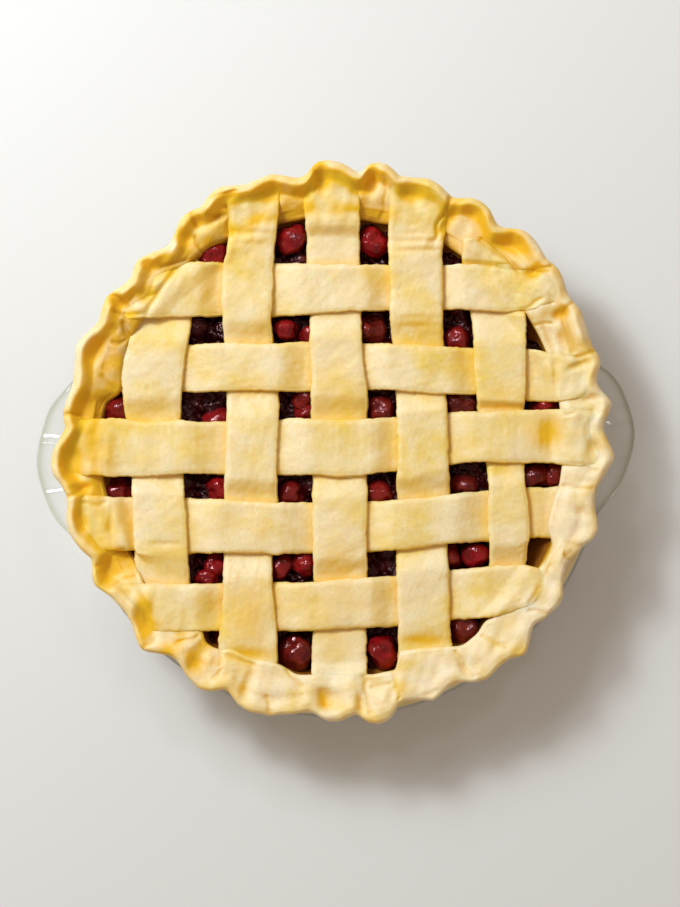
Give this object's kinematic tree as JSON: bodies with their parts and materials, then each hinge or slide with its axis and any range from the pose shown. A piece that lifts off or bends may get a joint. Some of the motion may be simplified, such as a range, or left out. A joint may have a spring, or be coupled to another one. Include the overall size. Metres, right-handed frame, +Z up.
{
  "type": "cherry pie",
  "caption": "Unbaked cherry pie with a woven lattice top and a fluted rim, in a clear glass pie dish with side ears.",
  "frame": {"origin": "middle of the underside of the dish's foot, on the surface that the dish stands on", "axes": "+Z up, +X towards one ear of the dish (the ears are turned 3.6 degrees from it), +Y along the lattice strips named down"},
  "size_m": [0.2814, 0.2603, 0.0564],
  "materials": {
    "glass": "smooth clear glass",
    "dough": "raw butter dough, soft and matte",
    "filling": "wet cherries in dark juice"
  },
  "bodies": {
    "root": {"glass_dish": "glass", "bottom_crust": "dough", "cherry_filling": "filling", "lattice_down_1": "dough", "lattice_down_2": "dough", "lattice_down_3": "dough", "lattice_down_4": "dough", "lattice_down_5": "dough", "lattice_across_1": "dough", "lattice_across_2": "dough", "lattice_across_3": "dough", "lattice_across_4": "dough", "lattice_across_5": "dough"}
  },
  "joints": []
}
